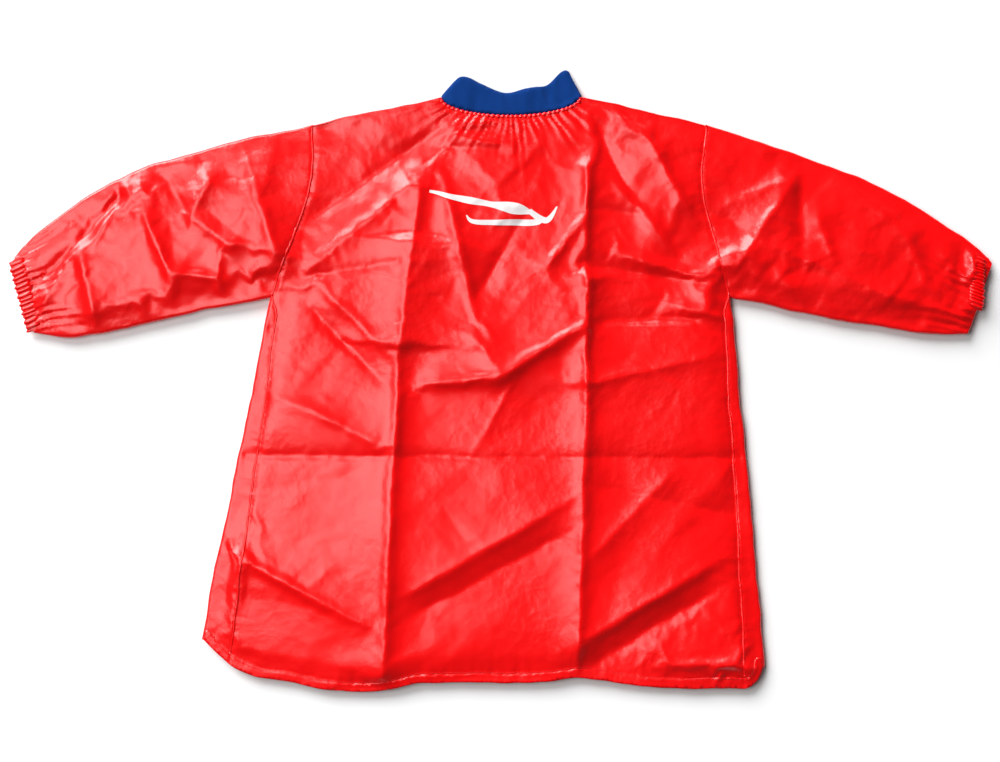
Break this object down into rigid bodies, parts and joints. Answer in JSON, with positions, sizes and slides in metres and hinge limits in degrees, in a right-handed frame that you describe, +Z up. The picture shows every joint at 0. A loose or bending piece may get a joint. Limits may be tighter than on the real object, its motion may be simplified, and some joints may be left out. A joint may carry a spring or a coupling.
{
  "type": "painting smock",
  "caption": "Child's long-sleeved painting smock of thin coated nylon, laid flat, with knit collar, gathered neck, elastic cuffs and an overlapped back opening.",
  "frame": {"origin": "bottom centre of the garment's box as it lies flat on its back, front up", "axes": "+X towards the wearer's left along the sleeves, +Y towards the collar, +Z up out of the front"},
  "size_m": [0.9828, 0.6222, 0.0126],
  "materials": {
    "nylon_red": "glossy coated taffeta",
    "knit_blue": "matt rib knit",
    "tape_blue": "hook and loop tape",
    "elastic_white": "woven elastic",
    "print_white": "satin screen print"
  },
  "bodies": {
    "torso": {"front_panel": "nylon_red", "back_panel_right": "nylon_red", "back_panel_left": "nylon_red", "front_hem": "nylon_red", "back_hem_right": "nylon_red", "back_hem_left": "nylon_red", "facing_left": "nylon_red", "armhole_seam_left": "nylon_red", "armhole_seam_right": "nylon_red", "side_seam_left": "nylon_red", "side_seam_right": "nylon_red", "shoulder_seam_left": "nylon_red", "shoulder_seam_right": "nylon_red", "neck_seam": "nylon_red", "collar_band": "knit_blue", "loop_patch": "tape_blue", "chest_motif": "print_white"},
    "sleeve_left_body": {"sleeve_left": "nylon_red", "cuff_casing_left": "nylon_red", "cuff_elastic_left": "elastic_white", "sleeve_seam_left": "nylon_red"},
    "sleeve_right_body": {"sleeve_right": "nylon_red", "cuff_casing_right": "nylon_red", "cuff_elastic_right": "elastic_white", "sleeve_seam_right": "nylon_red"},
    "back_flap": {"back_flap_right": "nylon_red", "flap_hem": "nylon_red", "facing_right": "nylon_red", "neck_seam_flap": "nylon_red", "collar_end": "knit_blue", "hook_patch": "tape_blue"}
  },
  "joints": [
    {"name": "sleeve_left_fold", "type": "hinge", "parent": "torso", "child": "sleeve_left_body", "pos_m": [0.20119, 0.17427, 0.013], "axis": [0.1372, -0.9905, 0], "range_deg": [0, 165]},
    {"name": "sleeve_right_fold", "type": "hinge", "parent": "torso", "child": "sleeve_right_body", "pos_m": [-0.1971, 0.17301, 0.013], "axis": [0.2356, 0.9718, 0], "range_deg": [0, 180]},
    {"name": "back_flap_open", "type": "hinge", "parent": "torso", "child": "back_flap", "pos_m": [-0.21256, -0.28939, -0.00015], "axis": [0.2984, 0.9544, 0], "range_deg": [0, 180]}
  ]
}
